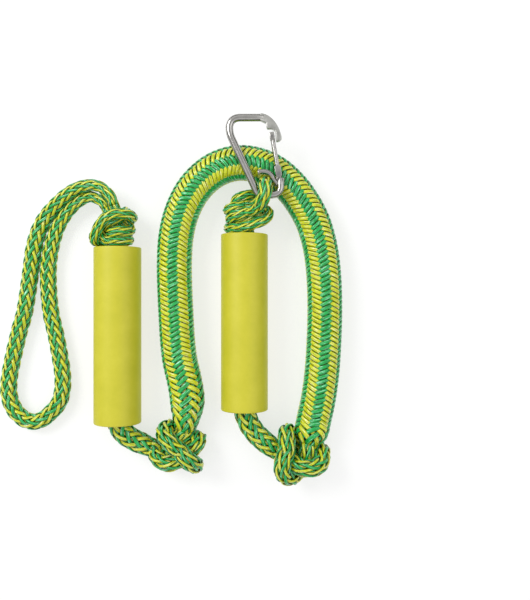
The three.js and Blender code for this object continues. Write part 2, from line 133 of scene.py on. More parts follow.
HAND_LOOP_ROUTE = metres([
    (-61.5, 50, 24), (-62.5, 57, 22.5), (-67, 65, 20.5), (-74.5, 71, 19), (-82, 73.5, 18.5),
    (-90, 73, 17.5), (-99, 70, 16), (-108, 64.5, 14), (-115.5, 58, 12), (-123, 50.5, 10),
    (-129, 42.5, 8.2), (-133.5, 33, 7.5), (-137, 20.5, 7.2), (-139, 6.5, 7.2), (-141, -9, 7.2),
    (-145.5, -37, 7.2), (-149.5, -51, 7.2), (-156, -79, 7.2), (-158.5, -93, 7.2), (-159, -105.5, 7.2),
    (-156.5, -116, 7.2), (-150.5, -125, 7.2), (-141, -131, 7.2), (-131, -130, 7.2), (-122.5, -123.5, 7.2),
    (-115, -114.5, 7.2), (-112, -102.5, 7.2), (-112, -89.5, 7.2), (-114.5, -73, 7.2), (-118, -54.5, 7.2),
    (-122, -37, 7.2), (-124.5, -7.5, 7.2), (-123.5, 12, 7.2), (-118.5, 32, 7.5), (-114.5, 41, 8),
    (-107, 51.5, 9.3), (-97, 60.5, 11), (-87, 64.5, 12.7), (-77, 62, 14.5), (-71.5, 53.5, 16.5),
])
BUNGEE_ROUTE = metres([
    (-7, -148, 16), (-4.5, -137, 15.5), (-2.5, -122, 15.5), (-2, -110, 15.5), (-4.5, -94, 15.5),
    (-8.5, -76, 15.5), (-10.5, -58, 15.5), (-11.5, -41, 15.5), (-12.3, -25, 15.5), (-13, -6, 15.5),
    (-13, 10, 15.5), (-12, 27, 15.5), (-9, 43, 15.5), (-4, 57, 15.5), (3, 69.5, 15.5),
    (13, 80.5, 15.5), (25, 88.5, 15.5), (41, 93, 15.5), (58.3, 91.2, 15.5), (74.5, 83.8, 15.5),
    (88.5, 71, 15.5), (98, 58, 15.5), (105.5, 44, 15.5), (111, 27, 15.5), (114.2, 9.5, 15.5),
    (116, -12, 15.5), (116.4, -36, 15.5), (115.5, -64, 15.5), (114, -86, 15.5), (111, -109, 15.5),
    (107, -128, 15.5), (103, -146, 16),
])
LOWER_ROPE_1_ROUTE = metres([
    (-61.1, -110, 20), (-61.1, -128, 19.5), (-58.6, -136.5, 16.5), (-52.5, -143.5, 13.5),
    (-44, -148.5, 12),
])
LOWER_ROPE_2_ROUTE = metres([
    (47.4, -98, 20), (47.4, -116.5, 19.5), (49, -126, 17), (54.5, -137, 14), (63, -146.5, 12),
])
EYE_ROPE_ROUTE = metres([
    (53, 46, 26), (57.7, 51, 35), (62.3, 56.2, 42), (64.9, 61.5, 44.1), (65.2, 67, 42.6),
    (65.1, 71.2, 38.5), (65.1, 72.1, 34.5), (65.1, 71.2, 30.4), (64.7, 67, 26.4), (62.8, 61.5, 24.6),
    (58.7, 55.5, 23.4), (53.5, 49, 21),
])

# Overhand knots. A lower knot is tied in the single rope on its way from a float to the elastic.
LOWER_KNOT_1_ROUTE = metres([
    (-33.5, -152.5, 12), (-23, -155, 12.5), (-11, -155, 13), (0, -152.5, 17), (6, -146.5, 14),
    (2.5, -138.5, 9.5), (-6, -136, 8.5), (-16, -135, 11), (-20.5, -136.5, 19), (-17, -141, 27),
    (-9, -148.5, 29.5), (0, -156, 26), (2.5, -162, 17), (-5, -164.5, 9), (-12, -158, 8.5), (-10, -149, 11),
])
LOWER_KNOT_2_ROUTE = metres([
    (74.4, -155, 13), (85.5, -160.5, 14), (100, -162.5, 17.5), (110.5, -159.5, 18), (112.5, -151.5, 13),
    (104, -144.5, 8.5), (90.5, -139.5, 9.5), (83, -137.5, 18.5), (83.5, -145, 28.5), (84, -157, 31),
    (86.5, -168.5, 26), (92.5, -173, 16), (97.5, -167, 8.5), (98.5, -158, 9),
])
# An upper knot is tied in two ropes side by side. Each row is the middle of the two, and then which
# way the first rope lies from the middle.
UPPER_KNOT_1_ROUTE = [
    (-67, 55, 19.5, 0.8, 0.3, 0.5), (-65, 47, 16, 1, 0.3, 0.2), (-61.5, 39, 13, 1, 0.4, 0),
    (-56, 32, 11, 0.6, 0.8, 0), (-52, 29.5, 16, 0, 0.9, -0.4), (-52, 29.5, 24, -0.3, 0.8, 0.4),
    (-58, 29.5, 28, 0, 0.9, 0.4), (-64.5, 28, 27.5, 0, 0.9, 0.4), (-69.5, 28.5, 21.5, 0.3, 0.9, 0.3),
    (-70.5, 31, 13, 0.8, 0.5, 0.2), (-67, 38, 8, 0.3, 0.6, 0.4), (-58.5, 44.5, 8.5, 0.5, -0.2, 0.8),
    (-54.5, 46, 16, 0.6, 0.3, 0.7), (-54.5, 45.5, 23.5, 0.4, 0.4, 0.8), (-59.5, 46, 27, -0.1, 0.4, 0.9),
    (-66.5, 44, 28, -0.2, 0.3, 0.93), (-71.5, 39, 27.5, -0.3, 0.2, 0.93),
    (-74.5, 33.5, 25, -0.5, -0.1, 0.85), (-74, 29, 18.5, -0.7, -0.4, 0.5),
    (-69.5, 27.5, 12.5, -0.5, -0.3, 0.7), (-63.5, 24.5, 14.5, -0.9, -0.2, 0.3),
    (-61.1, 16, 19, -1, 0, 0), (-61.1, 6, 20, -1, 0, 0), (-61.1, -4, 20, -1, 0, 0),
]
UPPER_KNOT_2_ROUTE = [
    (52, 50, 27, 0.1, -0.5, 0.85), (45, 49.5, 27.5, 0, -0.9, 0.4), (39.5, 48.5, 25, -0.2, -0.9, 0.3),
    (37, 47.5, 17, -0.3, -0.9, 0), (40, 47, 9.5, 0, -1, -0.2), (48, 48.5, 8, 0.3, -0.9, 0),
    (57, 54.5, 11, 0.6, -0.7, 0.3), (56.5, 60, 18, 0.6, 0.7, 0.3), (49.5, 61, 22, 0.2, 0.9, 0.3),
    (42.5, 57.5, 22, -0.3, 0.8, 0.5), (39.5, 53, 17, -0.8, 0.5, 0.2), (46, 48.5, 17, -0.3, 0.5, 0.8),
    (58, 48, 16.5, 0, 0.9, 0.4), (65.5, 48.5, 20, 0.6, 0.8, 0.2), (62.5, 45.8, 28, 0.3, -0.9, 0.3),
    (51, 41.2, 29.5, 0.2, -0.9, 0.3), (41.5, 39, 27, 0.2, -0.9, 0.3), (37, 39, 20.5, -0.4, -0.7, 0.3),
    (38, 40, 11.5, -0.8, 0, 0), (43, 39, 9.5, -0.3, -0.7, 0), (47.4, 33, 14, -1, 0, 0),
    (47.4, 24, 19, -1, 0, 0), (47.4, 14, 20, -1, 0, 0), (47.4, 4, 20, -1, 0, 0),
]


def distances(line):
    return np.concatenate([[0], np.cumsum(np.linalg.norm(np.diff(line, axis=0), axis=1))])


def even(line, step):
    """The same line, and any columns after its x, y and z, at an even spacing."""
    along = distances(line[:, :3])
    wanted = np.linspace(0, along[-1], max(2, round(along[-1] / step) + 1))
    return np.stack([np.interp(wanted, along, column) for column in line.T], axis=1)


def smooth_line(points, step=ROUTE_STEP):
    """Evenly spaced points on a centripetal Catmull-Rom curve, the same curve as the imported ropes'."""
    points = np.asarray(points, float)
    padded = np.vstack([2 * points[0] - points[1], points, 2 * points[-1] - points[-2]])
    stretches = []
    for a, b, c, d in zip(padded, padded[1:], padded[2:], padded[3:]):
        gaps = [max(np.linalg.norm((q - p)[:3]), 1e-9) ** 0.5 for p, q in ((a, b), (b, c), (c, d))]
        knots = np.cumsum([0] + gaps)
        t = np.linspace(knots[1], knots[2], 24, endpoint=False)[:, None]

        def mix(p, q, i, j):
            return ((knots[j] - t) * p + (t - knots[i]) * q) / (knots[j] - knots[i])

        ab, bc, cd = mix(a, b, 0, 1), mix(b, c, 1, 2), mix(c, d, 2, 3)
        stretches.append(mix(mix(ab, bc, 0, 2), mix(bc, cd, 1, 3), 1, 2))
    return even(np.vstack(stretches + [points[-1:]]), step)


def unit(vectors):
    return vectors / np.maximum(np.linalg.norm(vectors, axis=-1, keepdims=True), 1e-12)


def twist_free(line, up=(0, 0, 1)):
    """The tangent and two normals at each point, carried with no twist from the middle both ways."""
    tangents = unit(np.gradient(line, axis=0))
    normals = np.empty_like(line)
    middle = len(line) // 2
    for order in (range(middle, len(line)), range(middle, -1, -1)):
        normal = np.asarray(up, float)
        for i in order:
            normal = unit(normal - tangents[i] * normal.dot(tangents[i]))
            normals[i] = normal
    return tangents, normals, np.cross(tangents, normals)


def relax(ropes, radii, held, tight, shelf=None, rounds=220, smoothing=0.30, anchor=0.012):
    """Pushes ropes that run through each other, or through themselves, apart until they touch, and
    evens out their bends. held says which points stay where they are. shelf is the middle of a
    float's end, which the ropes stay clear of except where they go into its bore."""
    counts = [len(rope) for rope in ropes]
    owner = np.repeat(np.arange(len(ropes)), counts)
    along = np.concatenate([distances(rope) for rope in ropes])
    size = np.concatenate(radii)
    fixed = np.concatenate(held)[:, None]
    home = np.vstack(ropes)
    shelved = np.zeros(len(home), bool)
    if shelf is not None:
        shelved = (home[:, 1] > shelf.y) & (abs(home[:, 0] - shelf.x) > 6 * MM)
    reach = (size[:, None] + size[None, :]) * tight
    neighbours = abs(along[:, None] - along[None, :]) < 1.35 * reach
    same_stretch = (owner[:, None] == owner[None, :]) & neighbours
    points = home.copy()
    ends = np.cumsum([0] + counts)
    for _ in range(rounds):
        moved = points.copy()
        for first, last in zip(ends, ends[1:]):
            rope = points[first:last]
            moved[first + 1:last - 1] += smoothing * ((rope[:-2] + rope[2:]) / 2 - rope[1:-1])
        moved += anchor * (home - moved)
        apart = moved[:, None] - moved[None, :]
        gap = np.linalg.norm(apart, axis=2)
        deep = np.where(same_stretch, 0, np.clip(reach - gap, 0, None))
        share = np.maximum((deep > 0).sum(axis=1), 1)[:, None] ** 0.5
        moved += 0.5 * (apart / np.maximum(gap, 1e-9)[:, :, None] * deep[:, :, None]).sum(axis=1) / share
        moved[:, 2] = np.maximum(moved[:, 2], size + 0.3 * MM)
        if shelf is not None:
            moved[shelved, 1] = np.maximum(moved[shelved, 1], shelf.y + 0.95 * size[shelved])
        points = np.where(fixed, home, moved)
    return [points[first:last] for first, last in zip(ends, ends[1:])]


# ---------------------------------------------------------------- meshes


def new_object(name, vertices, faces, body, materials, material_of_face=None, uvs=None):
    mesh = bpy.data.meshes.new(name)
    mesh.from_pydata(np.asarray(vertices).tolist(), [], [tuple(face) for face in faces])
    for material in materials:
        mesh.materials.append(material)
    if material_of_face is not None:
        mesh.polygons.foreach_set("material_index", np.asarray(material_of_face, np.int32))
    mesh.polygons.foreach_set("use_smooth", np.ones(len(mesh.polygons), bool))
    if uvs is not None:
        corners = np.empty(len(mesh.loops), np.int32)
        mesh.loops.foreach_get("vertex_index", corners)
        layer = mesh.uv_layers.new(name="along_and_across")
        layer.data.foreach_set("uv", np.asarray(uvs, np.float32)[corners].ravel())
    mesh.update()
    made = bpy.data.objects.new(name, mesh)
    bpy.context.scene.collection.objects.link(made)
    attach(made, body)
    return made


def tube_faces(rings, sides, first=0):
    """The faces of a closed tube of rings, the first of whose vertices is number first."""
    ring, side = np.meshgrid(np.arange(rings - 1), np.arange(sides), indexing="ij")
    a = first + ring * sides + side
    b = first + ring * sides + (side + 1) % sides
    faces = np.stack([a, b, b + sides, a + sides], axis=-1).reshape(-1, 4).tolist()
    faces.append([first + i for i in reversed(range(sides))])
    faces.append([first + (rings - 1) * sides + i for i in range(sides)])
    return faces


def tube_points(line, radii, sides, up=(0, 0, 1)):
    _, normals, sideways = twist_free(line, up)
    angles = np.linspace(0, 2 * math.pi, sides, endpoint=False)
    ring = (np.cos(angles)[None, :, None] * normals[:, None, :]
            + np.sin(angles)[None, :, None] * sideways[:, None, :])
    radii = np.broadcast_to(np.asarray(radii, float), (len(line),))
    return (line[:, None, :] + radii[:, None, None] * ring).reshape(-1, 3)


def split_edges(piece, degrees):
    edges = piece.modifiers.new("edges", "EDGE_SPLIT")
    edges.split_angle = math.radians(degrees)


def over_and_under(angle):
    """1 where the yarns that turn one way lie on top, and -1 where they lie beneath the others."""
    column = YARNS_EACH_WAY * angle / math.pi
    return np.tanh(SHARPNESS * np.cos(math.pi / 2 * (column - 0.5))) / math.tanh(SHARPNESS)


def braided(name, line, radius, materials, start=0.0, end=None, cover=0.94, bunch=1.0, inside=True):
    """The braid on the stretch of a line from start to end, in metres along it. radius is the braid's
    outer radius and bunch how far it is pushed together, each one number or one for each point. The
    materials are the two yarns' and the inside's, a dark tube of painted shade."""
    along = distances(line)
    end = along[-1] if end is None else end
    outer = np.broadcast_to(np.asarray(radius, float), along.shape)
    _, normals, sideways = twist_free(line)
    middle = outer * 0.9
    for _ in range(3):
        around = 2 * math.pi * middle
        pitch = bunch * np.sqrt(YARN_PER_TURN ** 2 - around ** 2)
        width = cover * around * pitch / (YARNS_EACH_WAY * np.hypot(pitch, around))
        thick = np.minimum(YARN_AREA / width, THICKEST_YARN * outer)
        middle = outer - 1.06 * thick
    turned = 2 * math.pi * np.diff(along) * (1 / pitch[1:] + 1 / pitch[:-1]) / 2
    turned = np.concatenate([[0], np.cumsum(turned)])
    first, last = np.interp([start, end], along, turned)
    rings = max(6, int((last - first) / (4 * math.pi / YARNS_EACH_WAY) * RINGS_PER_WAVE))
    phase = np.linspace(first, last, rings)
    place = np.interp(phase, turned, along)

    def at(values):
        if values.ndim == 1:
            return np.interp(place, along, values)
        return np.stack([np.interp(place, along, column) for column in values.T], axis=1)

    centre, normal, side = at(line), unit(at(normals)), unit(at(sideways))
    middle, width, thick = at(middle), at(width), at(thick)
    section = 2 * math.pi * (np.arange(YARN_SIDES) + 0.5) / YARN_SIDES
    across = np.sign(np.cos(section)) * np.abs(np.cos(section)) ** YARN_SQUARENESS
    height = np.sin(section)
    vertices, faces, slots, uvs = [], [], [], []
    for slot, way in enumerate((-1, 1)):
        for i in range(YARNS_EACH_WAY):
            angle = 2 * math.pi * i / YARNS_EACH_WAY + way * phase
            rise = way * YARN_RISE * thick * over_and_under(angle)
            facing = (angle + GREEN_ON_TOP)[:, None]
            out = np.cos(facing) * normal + np.sin(facing) * side
            path = centre + (middle + rise)[:, None] * out
            forward = unit(np.gradient(path, axis=0))
            level = unit(np.cross(forward, out))
            up = np.cross(level, forward)
            half_width = (across[None, :] * width[:, None] / 2)[:, :, None] * level[:, None, :]
            half_height = (height[None, :] * thick[:, None] / 2)[:, :, None] * up[:, None, :]
            ring = path[:, None, :] + half_width + half_height
            faces += tube_faces(rings, YARN_SIDES, len(vertices) * rings * YARN_SIDES)
            slots += [slot] * (len(faces) - len(slots))
            vertices.append(ring.reshape(-1, 3))
            u = distances(path)[:, None] + YARN_OFFSET * i
            v = i + 0.5 + 0.5 * across[None, :]
            uvs.append(np.stack(np.broadcast_arrays(u, v), axis=-1).reshape(-1, 2))
    # The inside is a dark tube of painted shade, where the hollow braid's inside lies in shadow.
    if inside:
        core = tube_points(centre, middle - INSIDE_GAP * thick, INSIDE_SIDES)
        faces += tube_faces(rings, INSIDE_SIDES, sum(map(len, vertices)))
        slots += [2] * (len(faces) - len(slots))
        vertices.append(core)
        uvs.append(np.zeros((len(core), 2)))
    return new_object(name, np.vstack(vertices), faces, "line", materials, slots, np.vstack(uvs))


# ---------------------------------------------------------------- materials


def node(tree, kind, **settings):
    made = tree.nodes.new(kind)
    for name, value in settings.items():
        if hasattr(made, name):
            setattr(made, name, value)
        else:
            made.inputs[name.replace("_", " ")].default_value = value
    return made


def new_material(name, **surface):
    """A material with a Principled shader, whose sockets are set from the keywords."""
    material = bpy.data.materials.new(name)
    material.use_nodes = True
    tree = material.node_tree
    shader = tree.nodes["Principled BSDF"]
    for socket, value in surface.items():
        shader.inputs[socket.replace("_", " ")].default_value = value
    return material, tree, shader


def colour_ramp(tree, factor, stops):
    ramp = tree.nodes.new("ShaderNodeValToRGB")
    elements = ramp.color_ramp.elements
    while len(elements) < len(stops):
        elements.new(0.5)
    for element, (position, colour) in zip(elements, stops):
        element.position = position
        element.color = (*colour, 1)
    tree.links.new(factor, ramp.inputs["Fac"])
    return ramp.outputs["Color"]


def bump(tree, shader, height, strength, distance):
    made = node(tree, "ShaderNodeBump", Strength=strength, Distance=distance)
    tree.links.new(height, made.inputs["Height"])
    tree.links.new(made.outputs["Normal"], shader.inputs["Normal"])


def yarn_material(name, streak_shade, plain, streak_glint):
    """Flat multifilament yarn: filaments run along it, streaked with painted shade and painted glints,
    and it is glossy. Its edges carry painted shade, where they turn down between the yarns next to it."""
    material, tree, shader = new_material(name, Roughness=0.36, Specular_IOR_Level=0.42, Coat_Weight=0.35,
                                          Coat_Roughness=0.16, Coat_IOR=1.6)
    uv = node(tree, "ShaderNodeTexCoord")
    stretch = node(tree, "ShaderNodeMapping")
    stretch.inputs["Scale"].default_value = (120, 5, 1)
    tree.links.new(uv.outputs["UV"], stretch.inputs["Vector"])
    filaments_glints_and_shade = node(tree, "ShaderNodeTexNoise", Scale=1.0, Detail=3.0, Roughness=0.65)
    tree.links.new(stretch.outputs["Vector"], filaments_glints_and_shade.inputs["Vector"])
    # The darkest streaks are painted shade and the palest are painted glints, around the yarn's own
    # colour.
    stops = [(0.35, streak_shade), (0.45, plain), (0.56, plain), (0.65, streak_glint)]
    colour = colour_ramp(tree, filaments_glints_and_shade.outputs["Fac"], stops)
    parts = node(tree, "ShaderNodeSeparateXYZ")
    tree.links.new(uv.outputs["UV"], parts.inputs["Vector"])
    across = node(tree, "ShaderNodeMath", operation="FRACT")
    tree.links.new(parts.outputs["Y"], across.inputs[0])
    # Painted shade: each yarn's edges darken where they turn down between the yarns beside it.
    edge_shade, full = (0.28, 0.28, 0.28), (1.0, 1.0, 1.0)
    shade = colour_ramp(tree, across.outputs[0], [(0.04, edge_shade), (0.16, full), (0.84, full), (0.96, edge_shade)])
    darker = node(tree, "ShaderNodeMixRGB", blend_type="MULTIPLY", Fac=1.0)
    tree.links.new(colour, darker.inputs["Color1"])
    tree.links.new(shade, darker.inputs["Color2"])
    tree.links.new(darker.outputs["Color"], shader.inputs["Base Color"])
    bump(tree, shader, filaments_glints_and_shade.outputs["Fac"], 0.6, 0.0006)
    return material


# Near-black latex: the elastic's real core, and also the painted shade of the dark tube inside the hollow
# ropes.
def latex_and_shade_material():
    material, tree, shader = new_material("latex_core", Roughness=0.75)
    noise = node(tree, "ShaderNodeTexNoise", Scale=400.0, Detail=3.0)
    stops = [(0.3, (0.004, 0.006, 0.004)), (0.7, (0.012, 0.016, 0.010))]
    colour = colour_ramp(tree, noise.outputs["Fac"], stops)
    tree.links.new(colour, shader.inputs["Base Color"])
    bump(tree, shader, noise.outputs["Fac"], 0.3, 0.0002)
    return material


def foam_material():
    """Closed-cell foam: matt, with fine cells and faint mottling."""
    material, tree, shader = new_material("float_foam", Roughness=0.48, Specular_IOR_Level=0.5)
    place = node(tree, "ShaderNodeTexCoord")
    cells = node(tree, "ShaderNodeTexVoronoi", Scale=1500.0)
    tree.links.new(place.outputs["Object"], cells.inputs["Vector"])
    mottling = node(tree, "ShaderNodeTexNoise", Scale=45.0, Detail=5.0, Roughness=0.65)
    tree.links.new(place.outputs["Object"], mottling.inputs["Vector"])
    stops = [(0.30, (0.560, 0.530, 0.022)), (0.50, (0.600, 0.560, 0.028)), (0.72, (0.640, 0.595, 0.038))]
    colour = colour_ramp(tree, mottling.outputs["Fac"], stops)
    tree.links.new(colour, shader.inputs["Base Color"])
    bump(tree, shader, cells.outputs["Distance"], 0.2, 0.0002)
    return material


def steel_material(name="polished_steel", tint=(0.46, 0.45, 0.43), roughness=0.16):
    material, tree, shader = new_material(name, Metallic=1.0)
    place = node(tree, "ShaderNodeTexCoord")
    wear = node(tree, "ShaderNodeTexNoise", Scale=260.0, Detail=4.0, Roughness=0.6)
    tree.links.new(place.outputs["Object"], wear.inputs["Vector"])
    spread = node(tree, "ShaderNodeMapRange")
    spread.inputs["To Min"].default_value = roughness * 0.7
    spread.inputs["To Max"].default_value = roughness * 1.5
    tree.links.new(wear.outputs["Fac"], spread.inputs["Value"])
    tree.links.new(spread.outputs["Result"], shader.inputs["Roughness"])
    colour = colour_ramp(tree, wear.outputs["Fac"], [(0.3, [0.88 * c for c in tint]), (0.6, tint)])
    tree.links.new(colour, shader.inputs["Base Color"])
    bump(tree, shader, wear.outputs["Fac"], 0.06, 0.0001)
    return material


def thread_material():
    material, tree, shader = new_material("whipping_thread", Roughness=0.8)
    wave = node(tree, "ShaderNodeTexWave", Scale=500.0, Distortion=1.5)
    colour = colour_ramp(tree, wave.outputs["Fac"], [(0.2, (0.35, 0.34, 0.29)), (0.8, (0.62, 0.60, 0.52))])
    tree.links.new(colour, shader.inputs["Base Color"])
    bump(tree, shader, wave.outputs["Fac"], 0.5, 0.0003)
    return material


make_camera()
LATEX_AND_SHADE = latex_and_shade_material()
FOAM = foam_material()
STEEL = steel_material()
FLAT_STEEL = steel_material("nose_steel", (0.50, 0.50, 0.47), 0.30)
DARK_STEEL = steel_material("pin_steel", (0.30, 0.30, 0.30), 0.28)
THREAD = thread_material()
# Each yarn's colours: painted shade, its own colour, painted glint.
YELLOW_YARN = yarn_material("yellow_yarn", (0.16, 0.26, 0.001), (0.66, 0.72, 0.006), (1.00, 0.96, 0.60))
GREEN_YARN = yarn_material("green_yarn", (0.000, 0.05, 0.008), (0.000, 0.42, 0.070), (0.45, 0.95, 0.68))
# The third material is for the dark inside tube, which is painted shade.
ROPE = [YELLOW_YARN, GREEN_YARN, LATEX_AND_SHADE]


# ---------------------------------------------------------------- ropes and knots


def ease(t):
    t = np.clip(t, 0, 1)
    return t * t * (3 - 2 * t)


def nearest_along(line, point):
    """How far along a line its nearest point to a point is, in metres."""
    return distances(line)[np.argmin(np.linalg.norm(line - point, axis=1))]


def bore_mouth(name):
    low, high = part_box(name)
    return Vector(((low.x + high.x) / 2, high.y + 0.3 * MM, (low.z + high.z) / 2))


def soften(line, chosen, rounds=25):
    """Smooths out the kinks in the chosen stretches of a line."""
    line = line.copy()
    for _ in range(rounds):
        pull = (line[:-2] + line[2:]) / 2 - line[1:-1]
        line[1:-1] += 0.5 * pull * chosen[1:-1, None]
    return line


def smoothstep(values, low, high):
    return ease((values - low) / (high - low))


def side_by_side(route):
    """The centre lines of the two ropes in an upper knot."""
    rows = np.array(route, float)
    middle, aside = metres(rows[:, :3]), unit(rows[:, 3:]) * PAIR_RADIUS * PAIR_SQUEEZE
    return middle + aside, middle - aside


def in_a_bore(along):
    return (along < IN_BORE) | (along > along[-1] - IN_BORE)


def declare_doubled_rope(line, radius, ends, number):
    """Makes the two legs that run on from a doubled rope's own piece through its upper knot and into
    its float."""
    along = distances(line)
    knot = f"upper_knot_{number}"
    for leg, start, end, nodes in (("_leg_a", 0, ends[0], (knot, f"float_{number}_rope")),
                                   ("_leg_b", ends[1], along[-1], ())):
        piece = braided(knot + leg, line, radius, ROPE, start, end)
        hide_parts(*nodes)


def hand_loop_and_knot():
    """Both legs of the loop run on, side by side, through the knot and into the first float."""
    leg_a, leg_b = side_by_side(UPPER_KNOT_1_ROUTE)
    loop = HAND_LOOP_ROUTE[2:-1]
    line = smooth_line(np.vstack([leg_a[::-1], loop, leg_b]))
    along = distances(line)
    ends = nearest_along(line, leg_a[0]), nearest_along(line, leg_b[0])
    from_knot = np.minimum(along - ends[0], ends[1] - along)
    radius = PAIR_RADIUS + (LOOP_RADIUS - PAIR_RADIUS) * smoothstep(from_knot, *LOOP_WIDENS)
    held = in_a_bore(along) | (from_knot > LOOP_FREE)
    near = np.flatnonzero(from_knot < KNOT_REACH)
    split = np.flatnonzero(np.diff(near) > 1)[0] + 1
    parts = [near[:split], near[split:]]
    shelf = bore_mouth("float_1")
    halves = [[values[part] for part in parts] for values in (line, radius, held)]
    eased = relax(*halves, PAIR_SQUEEZE, shelf)
    for part, points in zip(parts, eased):
        line[part] = points
    along = distances(line)
    ends = nearest_along(line, leg_a[0]), nearest_along(line, leg_b[0])
    inward = np.minimum(along - ends[0], ends[1] - along)
    bunch = 1 + (LOOP_BUNCHING - 1) * smoothstep(inward, 0, KNOT_REACH)
    loop_piece = braided("hand_loop_braid", line, radius, ROPE, *ends, bunch=bunch)
    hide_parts("hand_loop_rope")
    declare_doubled_rope(line, radius, ends, 1)


def elastic_and_lower_knots():
    """One braid from float to float: rope, knot, the wide stretch over the elastic core, knot, rope."""
    stretches = [LOWER_ROPE_1_ROUTE, LOWER_KNOT_1_ROUTE, BUNGEE_ROUTE[1:], LOWER_KNOT_2_ROUTE[::-1],
                 LOWER_ROPE_2_ROUTE[::-1]]
    line = smooth_line(np.vstack(stretches))
    joins = (stretches[1][0], stretches[2][0], stretches[2][-1], stretches[3][-1])
    marks = [nearest_along(line, join) for join in joins]

    def radius_of(along, marks):
        wide = np.minimum(ease((along - marks[1] + SLEEVE_LEAD[0]) / BUNGEE_TAPERS[0]),
                          ease((marks[2] + SLEEVE_LEAD[1] - along) / BUNGEE_TAPERS[1]))
        knotted = np.minimum(ease((along - marks[0] + KNOT_LEAD) / KNOT_TIGHTENS),
                             ease((marks[3] + KNOT_LEAD - along) / KNOT_TIGHTENS))
        plain = LOWER_RADIUS + (KNOT_RADIUS - LOWER_RADIUS) * knotted
        return plain + (BUNGEE_RADIUS - plain) * wide

    along = distances(line)
    radius = radius_of(along, marks)
    clear = 4 * MM
    for first, last in ((0, marks[1] + SLEEVE_OVERLAP), (marks[2] - SLEEVE_OVERLAP, along[-1])):
        part = np.flatnonzero((along >= first) & (along <= last))
        inner = (along[part] > marks[0] - KNOT_TIGHTENS) & (along[part] < marks[3] + KNOT_TIGHTENS)
        off_elastic = (along[part] < marks[1] - clear) | (along[part] > marks[2] + clear)
        line[part], = relax([line[part]], [radius[part]], [~(inner & off_elastic)], LOWER_SQUEEZE)
    along = distances(line)
    marks = [nearest_along(line, join) for join in joins]
    radius = radius_of(along, marks)
    pushed = np.minimum(ease((along - marks[1]) / BUNCHING_STARTS[0]),
                        ease((marks[2] - along) / BUNCHING_STARTS[1]))
    bunch = 1 + (BUNCHING - 1) * pushed
    cover = OPEN_COVER + (BUNCHED_COVER - OPEN_COVER) * pushed
    cuts = [0, *marks, along[-1]]
    names = ["lower_rope_1", "lower_knot_1", "bungee_sleeve", "lower_knot_2", "lower_rope_2"]
    for name, start, end in zip(names, cuts, cuts[1:]):
        elastic = name == "bungee_sleeve"
        braided(name + "_braid", line, radius, ROPE, start, end,
                             cover=cover, bunch=bunch, inside=not elastic)
        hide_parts(name)
    kept = (along >= marks[1]) & (along <= marks[2])
    core_line, core_radius = line[kept], radius[kept] - CORE_WALL
    core_along = distances(core_line)
    inset = (core_along > CORE_INSET) & (core_along < core_along[-1] - CORE_INSET)
    sides = 28
    core = new_object("bungee_core_latex", tube_points(core_line[inset], core_radius[inset], sides),
                      tube_faces(int(inset.sum()), sides), "line", [LATEX_AND_SHADE])
    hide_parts("bungee_core")


def clip_eye_and_knot():
    """The eye goes round the snap hook's bottom bar, and both its ends run into the knot."""
    leg_a, leg_b = side_by_side(UPPER_KNOT_2_ROUTE)
    eye = EYE_ROPE_ROUTE[1:-1]
    line = smooth_line(np.vstack([leg_a[::-1], eye, leg_b]))
    along = distances(line)
    ends = nearest_along(line, eye[0]), nearest_along(line, eye[-1])
    inward = np.minimum(along - ends[0], ends[1] - along)
    radius = PAIR_RADIUS + (EYE_RADIUS - PAIR_RADIUS) * smoothstep(inward, *EYE_WIDENS)
    held = in_a_bore(along) | (inward > EYE_FREE)
    half = len(line) // 2
    parts = [slice(0, half), slice(half, None)]
    shelf = bore_mouth("float_2")
    halves = [[values[part] for part in parts] for values in (line, radius, held)]
    eased = relax(*halves, PAIR_SQUEEZE, shelf)
    line = soften(np.vstack(eased), abs(inward) < EYE_SMOOTHED)
    along = distances(line)
    ends = nearest_along(line, eye[0]) - EYE_RUNS_ON, nearest_along(line, eye[-1]) + EYE_RUNS_ON
    eye_piece = braided("clip_eye_braid", line, radius, ROPE, *ends)
    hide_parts("clip_eye_rope")
    declare_doubled_rope(line, radius, ends, 2)


hand_loop_and_knot()
elastic_and_lower_knots()
clip_eye_and_knot()


# ---------------------------------------------------------------- floats


FLOAT_BORE_RADIUS = 9 * MM
FLOAT_RIM = 1.0 * MM  # radius of the outer rims
BORE_RIM = 0.8 * MM
FLOAT_SIDES = 96


def add_float(name):
    """A foam tube with softened rims. The bore's edge is pressed in a little."""
    low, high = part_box(name)
    radius = (high.x - low.x) / 2
    centre = (low + high) / 2
    bore, soft, sides = FLOAT_BORE_RADIUS, FLOAT_RIM, FLOAT_SIDES
    outline = []
    for angle in np.linspace(0, math.pi / 2, 7).tolist():
        outline.append((radius - soft + soft * math.sin(angle), soft - soft * math.cos(angle)))
    length = high.y - low.y
    rise = [(r, length - y) for r, y in reversed(outline)]
    straight = [(radius, length * t) for t in np.linspace(0.03, 0.97, 40)]
    inner = [(bore + BORE_RIM, length), (bore, length - BORE_RIM), (bore, BORE_RIM), (bore + BORE_RIM, 0)]
    profile = outline + straight + rise + inner
    vertices, faces = [], []
    for r, y in profile:
        for k in range(sides):
            a = 2 * math.pi * k / sides
            vertices.append((centre.x + r * math.cos(a), low.y + y, centre.z + r * math.sin(a)))
    count = len(profile)
    for i in range(count):
        for k in range(sides):
            j, m = (i + 1) % count, (k + 1) % sides
            faces.append((i * sides + k, j * sides + k, j * sides + m, i * sides + m))
    piece = new_object(name + "_foam", vertices, faces, name, [FOAM])
    split_edges(piece, 50)
    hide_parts(name)


add_float("float_1")
add_float("float_2")


# ---------------------------------------------------------------- snap hook

